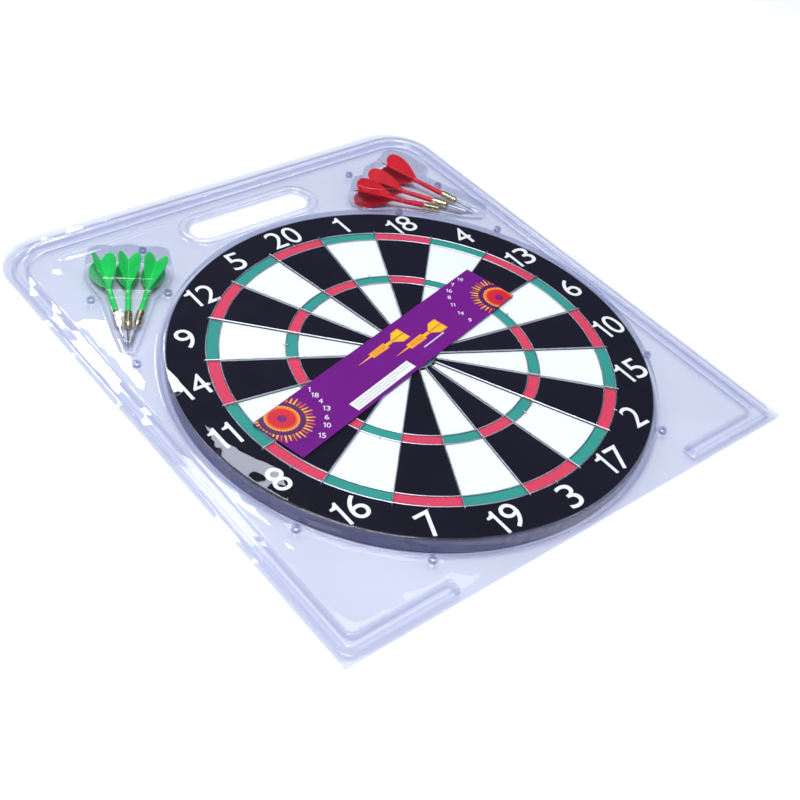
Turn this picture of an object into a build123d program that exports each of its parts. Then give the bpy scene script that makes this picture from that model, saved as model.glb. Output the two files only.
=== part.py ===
from build123d import *
import math
import os

# Boxed dart set: a clear folding clamshell pack that holds a round dartboard,
# six small brass darts and a printed card.  Millimetres, +Z up out of the
# board's face, +Y towards the carrying handle, origin at the middle of the
# pack's footprint on the plane it lies on.

os.makedirs("parts", exist_ok=True)

# ---------------------------------------------------------------- pack
PACK_W = 438.0          # width of both shells
PACK_H = 482.0          # length of both shells, fold to top edge
CORNER_R = 44.0         # top corners; the corners at the fold are square
SHEET_T = 0.6           # thickness of the clear sheet
BACK_TOP = 4.6          # top of the back shell's flat panel
FRONT_BOTTOM = 4.7      # underside of the front shell's flat panel
FRONT_TOP = FRONT_BOTTOM + SHEET_T
HINGE_Y = -PACK_H / 2   # the fold runs along the bottom edge

BOARD_Y = -41.0         # the board's centre in the pack

# stiffening bead along the left, top and right, with short returns at the fold
BEAD_OUT_X = 213.8
BEAD_IN_X = 201.2
BEAD_OUT_TOP = 230.5
BEAD_IN_TOP = 218.5
BEAD_OUT_BOT = -236.0
BEAD_IN_BOT = -222.6
BEAD_R_OUT = 38.0
BEAD_R_IN = 26.0
BEAD_GAP = 118.0        # half of the gap between the two returns
BEAD_UP = 5.0           # height of the bead above the front panel

# raised dome over the board and the recess under it
DOME_R_BASE = 195.6
DOME_R_TOP = 192.4
DOME_TOP = 16.4
RECESS_R_TOP = 194.8
RECESS_R_FLOOR = 193.2

# carrying handle, a slot through both shells with a raised rim
HANDLE_Y = 184.0
HANDLE_L, HANDLE_H = 118.0, 24.0
HANDLE_WEB = 2.2        # flat web between the slot and its rim
HANDLE_RIM = 7.6
HANDLE_UP = 2.6

# short stiffening rib beside the handle
RIB = (-172.0, -74.0, 204.5, 3.2, 1.6)   # x0, x1, y, width, height

# snap studs: a hollow stud on the back shell inside a cap on the front shell
STUD_XY = [(-108.5, 222.0), (-176.6, 184.7), (-119.9, 163.6), (-184.7, 102.0),
           (-179.0, -93.2), (-117.5, -163.6), (116.6, 234.0), (181.4, 181.4),
           (119.9, 164.4), (183.9, 101.3), (175.0, -92.3), (117.5, -161.2)]
CAP_R, CAP_UP = 3.6, 3.5
STUD_R, STUD_UP = 2.7, 2.9

# ---------------------------------------------------------------- board
BOARD_R = 190.5         # 381 mm across
BOARD_BACK = 0.8
BOARD_FACE = 12.8       # 12 mm thick
BAND_T = 0.9            # edge band round the rim
SHEET_Z = 12.5          # underside of the printed face sheet
PRINT_Z = 12.7          # top of the black sheet, underside of the colours
BACK_SHEET_T = 0.15
DOUBLE_OUT, DOUBLE_IN = 160.2, 150.4
TREBLE_OUT, TREBLE_IN = 99.6, 90.4
BULL_OUT, BULL_IN = 16.0, 6.5
SEGMENT_IN = 18.4
WIRE_D = 1.1
WIRE_LOW_Z = BOARD_FACE + 0.02 + WIRE_D / 2      # ring wires lie on the face
WIRE_TOP_Z = WIRE_LOW_Z + WIRE_D + 0.02          # radial wires cross over them
RADIAL_OUT = 162.0
RADIAL_IN = 17.4
LEG_Z = 8.5             # how deep the wire ends reach
STAPLE_D = 0.8
STAPLE_SPAN = 3.4

# printed card lying on the wires
CARD_L, CARD_W, CARD_T = 270.0, 48.0, 0.35
CARD_X, CARD_Y, CARD_TURN = -15.9, 6.4, 13.5
CARD_Z = WIRE_TOP_Z + WIRE_D / 2 + 0.05

# ---------------------------------------------------------------- darts
NEEDLE_L, NEEDLE_D = 24.0, 2.0
BARREL_L, BARREL_D = 16.0, 6.4
STEM_L, STEM_D = 28.0, 4.8
FLIGHT_L = 32.0         # along the axis, from the stem to the notch
VANE_R = 12.8
VANE_T = 0.7
# name, tip x, tip y (from the board's centre), tip z, heading in plan, rise, roll
DARTS = [
    ("green_1", -180.4, 124.8, 4.5, 71.3, 4.35, 54.0),
    ("green_2", -179.2, 124.0, 2.1, 59.5, 5.80, 51.0),
    ("green_3", -178.0, 123.2, 4.5, 47.5, 4.35, 53.0),
    ("red_1", 188.9, 131.5, 4.6, 111.0, 4.30, 36.0),
    ("red_2", 186.5, 136.0, 2.1, 130.5, 5.80, 38.0),
    ("red_3", 177.5, 137.4, 2.3, 139.1, 5.70, 35.0),
]


def finish(builder, label):
    """Name one finished piece and write its file."""
    builder.part.label = label
    export_step(builder.part, f"parts/{label}.step")


def heading(degrees, rise=0.0):
    a, e = math.radians(degrees), math.radians(rise)
    return Vector(math.cos(a) * math.cos(e), math.sin(a) * math.cos(e), math.sin(e))


def along(dart, t, left):
    """A plan point t along a dart's heading and left of its axis."""
    _, x, y, _, turn, _, _ = dart
    a = math.radians(turn)
    return (x + t * math.cos(a) - left * math.sin(a),
            y + BOARD_Y + t * math.sin(a) + left * math.cos(a))


def pocket_outline(first, last, middle, grow, start=None):
    """Plan outline round three darts.  first is the one on the left, seen
    from the tips; grow moves the whole outline in or out."""
    g = grow
    if start is None:
        pts = [along(last, -5.0 - g, -4.5 - g * 0.6)]
        if first[4] - last[4] > 26.0:      # the tips lie side by side
            pts += [along(last, -5.5 - g, 3.5)]
        pts += [along(first, -5.0 - g, 4.5 + g * 0.6)]
        pts += [along(first, 20, 6.0 + g), along(first, 62, 6.4 + g)]
    else:
        pts = [along(last, start - g, -6.8 - g), along(first, start - g, 6.8 + g)]
    pts += [along(first, 80, 12.6 + g), along(first, 93, 14.0 + g),
            along(first, 104.5 + g, 9.5 + g * 0.8), along(first, 105.5 + g, -3.0),
            along(middle, 106.5 + g, 0.0),
            along(last, 105.5 + g, 3.0), along(last, 104.5 + g, -9.5 - g * 0.8),
            along(last, 93, -14.0 - g), along(last, 80, -12.6 - g)]
    if start is None:
        pts += [along(last, 62, -6.4 - g), along(last, 20, -6.0 - g)]
    return pts


GREEN = (DARTS[0], DARTS[2], DARTS[1])
RED = (DARTS[3], DARTS[5], DARTS[4])
POCKETS = [GREEN, RED]
LOW_TOP = 14.6          # outer top of a pocket over the barrels
HIGH_TOP = 24.6         # outer top of a pocket over the flights
HIGH_FROM = 60.0


def outline_for(which, grow, start=None):
    first, last, middle = which
    # the left neighbour is the one with the larger heading
    if first[4] < last[4]:
        first, last = last, first
    return pocket_outline(first, last, middle, grow, start)


def plate_outline(inset=0.0):
    """Both shells: round corners at the top, square at the fold."""
    w, top, bot = PACK_W / 2 - inset, PACK_H / 2 - inset, -PACK_H / 2
    r = CORNER_R - inset
    with BuildSketch(Plane.XY) as sk:
        with BuildLine():
            Polyline((-w, top - r), (-w, bot), (w, bot), (w, top - r))
            RadiusArc((w, top - r), (w - r, top), -r)
            Line((w - r, top), (-w + r, top))
            RadiusArc((-w + r, top), (-w, top - r), -r)
        make_face()
    return sk.sketch


def bead_region(inset):
    """Plan region of the bead, shrunk by inset on all its edges."""
    i = inset

    def rounded(w, top, bot, r):
        with BuildSketch(Plane.XY) as sk:
            with BuildLine():
                Polyline((-w, top - r), (-w, bot), (w, bot), (w, top - r))
                RadiusArc((w, top - r), (w - r, top), -r)
                Line((w - r, top), (-w + r, top))
                RadiusArc((-w + r, top), (-w, top - r), -r)
            make_face()
        return sk.sketch

    with BuildSketch(Plane.XY) as sk:
        add(rounded(BEAD_OUT_X - i, BEAD_OUT_TOP - i, BEAD_OUT_BOT + i, BEAD_R_OUT - i))
        add(rounded(BEAD_IN_X + i, BEAD_IN_TOP + i, BEAD_IN_BOT - i, BEAD_R_IN + i),
            mode=Mode.SUBTRACT)
        with Locations((0, BEAD_OUT_BOT)):
            Rectangle(2 * (BEAD_GAP + i), 40, mode=Mode.SUBTRACT)
    return sk.sketch


def stadium_ring(inset):
    with BuildSketch(Plane.XY) as sk:
        with Locations((0, HANDLE_Y)):
            SlotOverall(HANDLE_L + 2 * (HANDLE_WEB + HANDLE_RIM) - 2 * inset,
                        HANDLE_H + 2 * (HANDLE_WEB + HANDLE_RIM) - 2 * inset)
            SlotOverall(HANDLE_L + 2 * HANDLE_WEB + 2 * inset,
                        HANDLE_H + 2 * HANDLE_WEB + 2 * inset, mode=Mode.SUBTRACT)
    return sk.sketch


def prism(builder_plane_z, region, height, bevel, mode=Mode.ADD, up=True):
    """Extrude a plan region and bevel the edges of its far face."""
    with BuildPart() as p:
        with BuildSketch(Plane.XY.offset(builder_plane_z)):
            add(region)
        extrude(amount=height if up else -height)
        if bevel:
            far = p.faces().filter_by(Plane.XY).group_by(Axis.Z)[-1 if up else 0]
            chamfer(far.edges(), bevel)
    return p.part


def polygon_region(points):
    with BuildSketch(Plane.XY) as sk:
        with BuildLine():
            Polyline(*points, close=True)
        make_face()
        fillet(sk.vertices(), 2.4)
    return sk.sketch


T = SHEET_T

# ================================================================ front shell
with BuildPart() as front_shell:
    with BuildSketch(Plane.XY.offset(FRONT_BOTTOM)):
        add(plate_outline())
    extrude(amount=T)
    # solid forms of everything that stands up from the panel
    add(prism(FRONT_BOTTOM, bead_region(0), T + BEAD_UP, 2.4))
    with Locations((0, BOARD_Y, FRONT_BOTTOM)):
        Cone(DOME_R_BASE, DOME_R_TOP, DOME_TOP - FRONT_BOTTOM,
             align=(Align.CENTER, Align.CENTER, Align.MIN))
    add(prism(FRONT_BOTTOM, stadium_ring(0), T + HANDLE_UP, 1.2))
    for which in POCKETS:
        add(prism(FRONT_BOTTOM, polygon_region(outline_for(which, T)), LOW_TOP - FRONT_BOTTOM, 2.0))
        add(prism(FRONT_BOTTOM, polygon_region(outline_for(which, T, HIGH_FROM)),
                  HIGH_TOP - FRONT_BOTTOM, 2.0))
    with Locations(*[(x, y + BOARD_Y, FRONT_BOTTOM) for x, y in STUD_XY]):
        Cone(CAP_R, CAP_R - 0.5, T + CAP_UP, align=(Align.CENTER, Align.CENTER, Align.MIN))
    with Locations(((RIB[0] + RIB[1]) / 2, RIB[2], FRONT_TOP)):
        Box(RIB[1] - RIB[0], RIB[3], RIB[4], align=(Align.CENTER, Align.CENTER, Align.MIN))
    # hollow them out from below, leaving one sheet thickness
    add(prism(FRONT_BOTTOM, bead_region(T), BEAD_UP, 2.2), mode=Mode.SUBTRACT)
    with Locations((0, BOARD_Y, FRONT_BOTTOM)):
        Cone(DOME_R_BASE - T, DOME_R_TOP - T, DOME_TOP - T - FRONT_BOTTOM,
             align=(Align.CENTER, Align.CENTER, Align.MIN), mode=Mode.SUBTRACT)
    add(prism(FRONT_BOTTOM, stadium_ring(T), HANDLE_UP, 1.0), mode=Mode.SUBTRACT)
    for which in POCKETS:
        add(prism(FRONT_BOTTOM, polygon_region(outline_for(which, 0)),
                  LOW_TOP - T - FRONT_BOTTOM, 1.8), mode=Mode.SUBTRACT)
        add(prism(FRONT_BOTTOM, polygon_region(outline_for(which, 0, HIGH_FROM)),
                  HIGH_TOP - T - FRONT_BOTTOM, 1.8), mode=Mode.SUBTRACT)
    with Locations(*[(x, y + BOARD_Y, FRONT_BOTTOM) for x, y in STUD_XY]):
        Cone(CAP_R - T, CAP_R - 0.5 - T, CAP_UP,
             align=(Align.CENTER, Align.CENTER, Align.MIN), mode=Mode.SUBTRACT)
    with BuildSketch(Plane.XY.offset(FRONT_BOTTOM)):
        with Locations((0, HANDLE_Y)):
            SlotOverall(HANDLE_L, HANDLE_H)
    extrude(amount=10, both=True, mode=Mode.SUBTRACT)

# The cover is one formed sheet.  It is written as five pieces that meet edge
# to edge, so that each open space under it stays open.


def ring_zone(radius):
    """Everything inside an upright cylinder round the board's centre."""
    with BuildPart() as zone:
        with Locations((0, BOARD_Y, -5)):
            Cylinder(radius, 60, align=(Align.CENTER, Align.CENTER, Align.MIN))
    return zone.part


def pocket_zone(which, grow):
    """Everything inside a dart pocket's outline."""
    with BuildPart() as zone:
        add(prism(-5, polygon_region(outline_for(which, grow)), 60, 0))
        add(prism(-5, polygon_region(outline_for(which, grow, HIGH_FROM)), 60, 0))
    return zone.part


def divide(whole, zone):
    """The part of a sheet inside a zone, and the rest of it."""
    with BuildPart() as inside:
        add(whole)
        add(zone, mode=Mode.INTERSECT)
    with BuildPart() as outside:
        add(whole)
        add(zone, mode=Mode.SUBTRACT)
    return inside, outside


dome, cover_rest = divide(front_shell.part, ring_zone(DOME_R_BASE + 0.3))
dome_top, dome_wall = divide(dome.part, ring_zone(DOME_R_TOP - 1.4))
finish(dome_top, "front_dome_top")
finish(dome_wall, "front_dome_wall")
for which, pocket_name in zip(POCKETS, ("green", "red")):
    pocket, cover_rest = divide(cover_rest.part, pocket_zone(which, T + 0.3))
    finish(pocket, f"front_pocket_{pocket_name}")
finish(cover_rest, "front_panel")

# ================================================================ back shell
BACK_BOTTOM = BACK_TOP - T
with BuildPart() as back_shell:
    with BuildSketch(Plane.XY.offset(BACK_BOTTOM)):
        add(plate_outline())
    extrude(amount=T)
    add(prism(BACK_TOP, bead_region(0), BACK_TOP, 1.8, up=False))
    with Locations((0, BOARD_Y, 0)):
        Cone(RECESS_R_FLOOR + T, RECESS_R_TOP + T, BACK_TOP,
             align=(Align.CENTER, Align.CENTER, Align.MIN))
    for which in POCKETS:
        add(prism(BACK_TOP, polygon_region(outline_for(which, T - 0.4)), BACK_TOP, 1.2, up=False))
    with Locations(*[(x, y + BOARD_Y, BACK_BOTTOM) for x, y in STUD_XY]):
        Cone(STUD_R, STUD_R - 0.3, T + STUD_UP, align=(Align.CENTER, Align.CENTER, Align.MIN))
    # hollows
    add(prism(BACK_TOP, bead_region(T), BACK_TOP - T, 1.6, up=False), mode=Mode.SUBTRACT)
    with Locations((0, BOARD_Y, T)):
        Cone(RECESS_R_FLOOR, RECESS_R_TOP, BACK_TOP - T,
             align=(Align.CENTER, Align.CENTER, Align.MIN), mode=Mode.SUBTRACT)
    for which in POCKETS:
        add(prism(BACK_TOP, polygon_region(outline_for(which, -0.4)), BACK_TOP - T, 1.0, up=False),
            mode=Mode.SUBTRACT)
    with Locations(*[(x, y + BOARD_Y, BACK_BOTTOM) for x, y in STUD_XY]):
        Cone(STUD_R - T, STUD_R - 0.3 - T, STUD_UP,
             align=(Align.CENTER, Align.CENTER, Align.MIN), mode=Mode.SUBTRACT)
    with BuildSketch(Plane.XY.offset(BACK_BOTTOM)):
        with Locations((0, HANDLE_Y)):
            SlotOverall(HANDLE_L, HANDLE_H)
    extrude(amount=10, both=True, mode=Mode.SUBTRACT)

# the back half is divided in the same way
recess, back_rest = divide(back_shell.part, ring_zone(RECESS_R_TOP + T + 0.3))
recess_floor, recess_wall = divide(recess.part, ring_zone(RECESS_R_FLOOR - 0.4))
finish(recess_floor, "back_recess_floor")
finish(recess_wall, "back_recess_wall")
for which, well_name in zip(POCKETS, ("green", "red")):
    well, back_rest = divide(back_rest.part, pocket_zone(which, T - 0.1))
    finish(well, f"back_well_{well_name}")
finish(back_rest, "back_panel")

# ================================================================ board
CORE_R = BOARD_R - BAND_T
HANGER_Y = BOARD_Y + 150.0
HANGER_L, HANGER_W, HANGER_T = 34.0, 16.0, 1.2
NAIL_X = 13.5

with BuildPart() as board_core:
    with Locations((0, BOARD_Y, BOARD_BACK + BACK_SHEET_T)):
        Cylinder(CORE_R - 0.02, SHEET_Z - BOARD_BACK - BACK_SHEET_T,
                 align=(Align.CENTER, Align.CENTER, Align.MIN))
    # pocket for the hanger plate, and room behind it for a hook's head
    with BuildSketch(Plane.XY.offset(BOARD_BACK)):
        with Locations((0, HANGER_Y)):
            RectangleRounded(HANGER_L + 0.2, HANGER_W + 0.2, 2.0)
    extrude(amount=HANGER_T + 0.05, mode=Mode.SUBTRACT)
    with BuildSketch(Plane.XY.offset(BOARD_BACK)):
        with Locations((0, HANGER_Y)):
            RectangleRounded(12.0, 13.0, 2.0)
    extrude(amount=HANGER_T + 4.0, mode=Mode.SUBTRACT)
finish(board_core, "board_core")

with BuildPart() as edge_band:
    with BuildSketch(Plane.XY.offset(BOARD_BACK)):
        with Locations((0, BOARD_Y)):
            Circle(BOARD_R)
            Circle(CORE_R, mode=Mode.SUBTRACT)
    extrude(amount=BOARD_FACE - BOARD_BACK)
    chamfer(edge_band.edges().filter_by(GeomType.CIRCLE), 0.25)
finish(edge_band, "edge_band")

with BuildPart() as back_sheet:
    with BuildSketch(Plane.XY.offset(BOARD_BACK)):
        with Locations((0, BOARD_Y)):
            Circle(CORE_R - 0.02)
        with Locations((0, HANGER_Y)):
            RectangleRounded(HANGER_L + 0.2, HANGER_W + 0.2, 2.0, mode=Mode.SUBTRACT)
    extrude(amount=BACK_SHEET_T)
finish(back_sheet, "back_sheet")

with BuildPart() as face_sheet:
    with BuildSketch(Plane.XY.offset(SHEET_Z)):
        with Locations((0, BOARD_Y)):
            Circle(CORE_R - 0.02)
    extrude(amount=PRINT_Z - SHEET_Z)
finish(face_sheet, "face_sheet")


def wedge_sketch(bands, first_angle):
    """Ten 18 degree wedges of the given ring bands."""
    with BuildSketch(Plane((0, BOARD_Y, PRINT_Z))) as sk:
        for outer, inner in bands:
            with BuildSketch(Plane.XY, mode=Mode.PRIVATE) as ring:
                Circle(outer)
                Circle(inner, mode=Mode.SUBTRACT)
                with BuildSketch(Plane.XY, mode=Mode.PRIVATE) as one:
                    with BuildLine():
                        h = math.radians(9.0)
                        Polyline((0, 0), (260 * math.cos(h), 260 * math.sin(h)),
                                 (260 * math.cos(h), -260 * math.sin(h)), close=True)
                    make_face()
                with BuildSketch(Plane.XY, mode=Mode.PRIVATE) as wedges:
                    with PolarLocations(0.0, 10, start_angle=first_angle):
                        add(one.sketch)
                add(wedges.sketch, mode=Mode.INTERSECT)
            add(ring.sketch)
    return sk.sketch


# the 20 sector, centred on +Y, is black with red rings; its neighbours are
# white with green rings
with BuildPart() as white_segments:
    add(wedge_sketch([(DOUBLE_IN, TREBLE_OUT), (TREBLE_IN, SEGMENT_IN)], 90.0 - 18.0))
    extrude(amount=BOARD_FACE - PRINT_Z)
finish(white_segments, "white_segments")

with BuildPart() as green_segments:
    add(wedge_sketch([(DOUBLE_OUT, DOUBLE_IN), (TREBLE_OUT, TREBLE_IN)], 90.0 - 18.0))
    with BuildSketch(Plane((0, BOARD_Y, PRINT_Z))):
        Circle(BULL_OUT)
        Circle(BULL_IN, mode=Mode.SUBTRACT)
    extrude(amount=BOARD_FACE - PRINT_Z)
finish(green_segments, "green_segments")

with BuildPart() as red_segments:
    add(wedge_sketch([(DOUBLE_OUT, DOUBLE_IN), (TREBLE_OUT, TREBLE_IN)], 90.0))
    with BuildSketch(Plane((0, BOARD_Y, PRINT_Z))):
        Circle(BULL_IN)
    extrude(amount=BOARD_FACE - PRINT_Z)
finish(red_segments, "red_segments")

# ---- wires
RINGS = [("double_outer_wire", DOUBLE_OUT), ("double_inner_wire", DOUBLE_IN),
         ("treble_outer_wire", TREBLE_OUT), ("treble_inner_wire", TREBLE_IN),
         ("outer_bull_wire", BULL_OUT), ("inner_bull_wire", BULL_IN)]
for ring_name, ring_r in RINGS:
    with BuildPart() as ring_wire:
        with Locations((0, BOARD_Y, WIRE_LOW_Z)):
            Torus(ring_r, WIRE_D / 2)
    finish(ring_wire, ring_name)

# one radial wire: a straight run with both ends bent down into the board
with BuildPart() as one_radial:
    with BuildLine(Plane.XZ):
        FilletPolyline((RADIAL_IN, LEG_Z), (RADIAL_IN, WIRE_TOP_Z),
                       (RADIAL_OUT, WIRE_TOP_Z), (RADIAL_OUT, LEG_Z), radius=1.0)
    with BuildSketch(Plane((RADIAL_IN, 0, LEG_Z))):
        Circle(WIRE_D / 2)
    sweep()

with BuildPart() as radial_wires:
    with Locations((0, BOARD_Y, 0)):
        with PolarLocations(0.0, 20, start_angle=9.0):
            add(one_radial.part)
finish(radial_wires, "radial_wires")

# one staple, straddling a ring wire
STAPLE_Z = WIRE_LOW_Z + WIRE_D / 2 + 0.02 + STAPLE_D / 2
with BuildPart() as one_staple:
    with BuildLine(Plane.XZ):
        FilletPolyline((-STAPLE_SPAN / 2, LEG_Z), (-STAPLE_SPAN / 2, STAPLE_Z),
                       (STAPLE_SPAN / 2, STAPLE_Z), (STAPLE_SPAN / 2, LEG_Z), radius=0.6)
    with BuildSketch(Plane((-STAPLE_SPAN / 2, 0, LEG_Z))):
        Circle(STAPLE_D / 2)
    sweep()

with BuildPart() as wire_staples:
    for r, count, first in [(DOUBLE_OUT, 10, 90.0), (TREBLE_OUT, 5, 72.0)]:
        with Locations((0, BOARD_Y, 0)):
            with PolarLocations(r, count, start_angle=first):
                add(one_staple.part)
finish(wire_staples, "wire_staples")

# ---- hanger plate with a keyhole, flush in the back
with BuildPart() as hanger_plate:
    with BuildSketch(Plane.XY.offset(BOARD_BACK)):
        with Locations((0, HANGER_Y)):
            RectangleRounded(HANGER_L, HANGER_W, 2.0)
        with Locations((0, HANGER_Y - 2.0)):
            Circle(4.0, mode=Mode.SUBTRACT)
        with Locations((0, HANGER_Y + 2.2)):
            SlotOverall(9.0, 4.0, rotation=90, mode=Mode.SUBTRACT)
        with Locations((-NAIL_X, HANGER_Y), (NAIL_X, HANGER_Y)):
            Circle(1.0, mode=Mode.SUBTRACT)
    extrude(amount=HANGER_T)
finish(hanger_plate, "hanger_plate")

with BuildPart() as hanger_nails:
    with Locations((-NAIL_X, HANGER_Y, BOARD_BACK - 0.18), (NAIL_X, HANGER_Y, BOARD_BACK - 0.18)):
        Cylinder(1.8, 0.16, align=(Align.CENTER, Align.CENTER, Align.MIN))
        Cylinder(0.9, 9.0, align=(Align.CENTER, Align.CENTER, Align.MIN))
finish(hanger_nails, "hanger_nails")

# ---- printed card
with BuildPart() as label_card:
    with BuildSketch(Plane((CARD_X, CARD_Y + BOARD_Y, CARD_Z))):
        Rectangle(CARD_L, CARD_W, rotation=CARD_TURN)
    extrude(amount=CARD_T)
finish(label_card, "label_card")

# ================================================================ darts
VANE = [(2.0, 3.2), (7.0, 6.6), (13.0, 9.8), (20.0, 12.2), (26.5, VANE_R),
        (32.0, 11.4), (34.6, 8.0), (34.6, 5.0), (FLIGHT_L + 0.6, 2.0)]

for dart in DARTS:
    dart_name, tx, ty, tz, turn, rise, roll = dart
    axis = heading(turn, rise)
    left = Vector(-math.sin(math.radians(turn)), math.cos(math.radians(turn)), 0)
    up = axis.cross(left)
    c, s = math.cos(math.radians(roll)), math.sin(math.radians(roll))
    vane_a = left * c + up * s            # direction of one pair of vanes
    tip = Vector(tx, ty + BOARD_Y, tz)
    plane_a = Plane(origin=tip, x_dir=axis, z_dir=axis.cross(vane_a))
    plane_b = Plane(origin=tip, x_dir=axis, z_dir=vane_a)
    spin = Axis(tip, axis)
    x1 = NEEDLE_L
    x2 = NEEDLE_L + BARREL_L
    x3 = x2 + STEM_L

    with BuildPart() as needle:
        with BuildSketch(plane_a):
            with BuildLine():
                Polyline((0, 0), (1.0, 0.28), (7.0, NEEDLE_D / 2), (x1 + 7.0, NEEDLE_D / 2),
                         (x1 + 7.0, 0), close=True)
            make_face()
        revolve(axis=spin)
    finish(needle, f"{dart_name}_point")

    with BuildPart() as barrel:
        with BuildSketch(plane_a):
            with BuildLine():
                r = BARREL_D / 2
                Polyline((x1, 1.03), (x1, 1.9), (x1 + 1.6, r - 0.35), (x1 + 3.0, r),
                         (x1 + 4.6, r), (x1 + 4.9, r - 0.4), (x1 + 5.5, r - 0.4), (x1 + 5.8, r),
                         (x1 + 7.4, r), (x1 + 7.7, r - 0.4), (x1 + 8.3, r - 0.4), (x1 + 8.6, r),
                         (x1 + 10.2, r), (x1 + 10.5, r - 0.4), (x1 + 11.1, r - 0.4),
                         (x1 + 11.4, r), (x2 - 1.2, r), (x2, r - 0.6),
                         (x2, 1.55), (x2 - 6.4, 1.55), (x2 - 6.4, 0), (x1 + 7.1, 0),
                         (x1 + 7.1, 1.03), close=True)
            make_face()
        revolve(axis=spin)
    finish(barrel, f"{dart_name}_barrel")

    with BuildPart() as flight:
        with BuildSketch(plane_a):
            with BuildLine():
                Polyline((x2 - 6.0, 0), (x2 - 6.0, 1.5), (x2 + 0.05, 1.5),
                         (x2 + 0.05, STEM_D / 2 - 0.2), (x2 + 0.6, STEM_D / 2),
                         (x3 - 2.0, STEM_D / 2 - 0.3), (x3 + 6.0, STEM_D / 2 - 0.9),
                         (x3 + FLIGHT_L, 1.0), (x3 + FLIGHT_L, 0), close=True)
            make_face()
        revolve(axis=spin)
        for pl in (plane_a, plane_b):
            with BuildSketch(pl):
                for side in (1, -1):
                    with BuildLine():
                        sp = Spline(*[(x3 + a, side * b) for a, b in VANE])
                        Polyline(sp @ 1, (x3 + FLIGHT_L - 0.6, side * 0.3),
                                 (x3 - 3.0, side * 0.3), (x3 - 1.5, side * 1.8), sp @ 0)
                    make_face()
            extrude(amount=VANE_T / 2, both=True)
    finish(flight, f"{dart_name}_flight")
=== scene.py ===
import math

import bpy
import numpy as np
from mathutils import Matrix, Vector
from mathutils.geometry import delaunay_2d_cdt


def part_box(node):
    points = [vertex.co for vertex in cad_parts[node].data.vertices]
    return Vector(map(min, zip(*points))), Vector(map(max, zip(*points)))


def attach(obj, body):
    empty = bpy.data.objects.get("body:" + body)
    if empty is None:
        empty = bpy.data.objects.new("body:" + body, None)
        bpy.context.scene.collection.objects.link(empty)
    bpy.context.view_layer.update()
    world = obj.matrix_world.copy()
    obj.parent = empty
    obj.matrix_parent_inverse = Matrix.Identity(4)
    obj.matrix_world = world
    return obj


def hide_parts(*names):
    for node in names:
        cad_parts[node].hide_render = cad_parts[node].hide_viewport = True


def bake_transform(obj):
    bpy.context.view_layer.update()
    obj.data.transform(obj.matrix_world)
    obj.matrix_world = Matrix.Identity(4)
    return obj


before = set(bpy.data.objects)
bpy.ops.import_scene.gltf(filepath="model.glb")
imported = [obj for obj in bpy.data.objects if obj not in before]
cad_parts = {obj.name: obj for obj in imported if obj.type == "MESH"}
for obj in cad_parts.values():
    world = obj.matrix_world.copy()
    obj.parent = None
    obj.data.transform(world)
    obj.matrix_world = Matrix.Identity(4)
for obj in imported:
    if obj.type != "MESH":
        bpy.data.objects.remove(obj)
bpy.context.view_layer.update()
scene = bpy.context.scene
lo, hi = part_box("edge_band")
CX, CY = (lo.x + hi.x) / 2, (lo.y + hi.y) / 2      # board centre, metres
MM = 0.001
BY = CY * 1000.0                                    # board centre's y in millimetres

# =====================================================================
# small tools
# =====================================================================


def link(name, verts, faces, mats, smooth=True, face_mats=None):
    """A mesh object; verts are in millimetres."""
    me = bpy.data.meshes.new(name)
    v = np.asarray(verts, float) * MM
    me.from_pydata([tuple(p) for p in v], [], [tuple(int(i) for i in f) for f in faces])
    me.update()
    for m in (mats if isinstance(mats, (list, tuple)) else [mats]):
        me.materials.append(m)
    if face_mats is not None:
        me.polygons.foreach_set("material_index", np.asarray(face_mats, np.int32))
    me.polygons.foreach_set("use_smooth", [bool(smooth)] * len(me.polygons))
    o = bpy.data.objects.new(name, me)
    scene.collection.objects.link(o)
    return o


class Nodes:
    """Shorthand for one material's node tree."""

    def __init__(self, name):
        self.m = bpy.data.materials.new(name)
        self.m.use_nodes = True
        self.t = self.m.node_tree
        self.t.nodes.clear()
        self.out = self.t.nodes.new("ShaderNodeOutputMaterial")

    def add(self, kind, **inputs):
        n = self.t.nodes.new(kind)
        for k, v in inputs.items():
            key = k.replace("_", " ")
            if key in n.inputs:
                n.inputs[key].default_value = v
        return n

    def wire(self, a, b):
        self.t.links.new(a, b)

    def coords(self):
        return self.add("ShaderNodeTexCoord").outputs["Object"]

    def noise(self, scale, detail=3.0, rough=0.5, vec=None):
        n = self.add("ShaderNodeTexNoise")
        n.inputs["Scale"].default_value = scale
        n.inputs["Detail"].default_value = detail
        n.inputs["Roughness"].default_value = rough
        self.wire(vec if vec is not None else self.coords(), n.inputs["Vector"])
        return n

    def ramp(self, fac, stops, interp="LINEAR"):
        r = self.add("ShaderNodeValToRGB")
        r.color_ramp.interpolation = interp
        while len(r.color_ramp.elements) < len(stops):
            r.color_ramp.elements.new(0.5)
        for e, (p, c) in zip(r.color_ramp.elements, stops):
            e.position = p
            e.color = tuple(c) + ((1.0,) if len(c) == 3 else ())
        self.wire(fac, r.inputs["Fac"])
        return r.outputs["Color"]

    def map_range(self, fac, a, b, c, d):
        n = self.add("ShaderNodeMapRange")
        n.inputs["From Min"].default_value = a
        n.inputs["From Max"].default_value = b
        n.inputs["To Min"].default_value = c
        n.inputs["To Max"].default_value = d
        self.wire(fac, n.inputs["Value"])
        return n.outputs["Result"]

    def bump(self, height, strength, distance):
        n = self.add("ShaderNodeBump")
        n.inputs["Strength"].default_value = strength
        n.inputs["Distance"].default_value = distance
        self.wire(height, n.inputs["Height"])
        return n.outputs["Normal"]


def shade(c, k):
    return tuple(min(1.0, max(0.0, x * k)) for x in c[:3])


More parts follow.
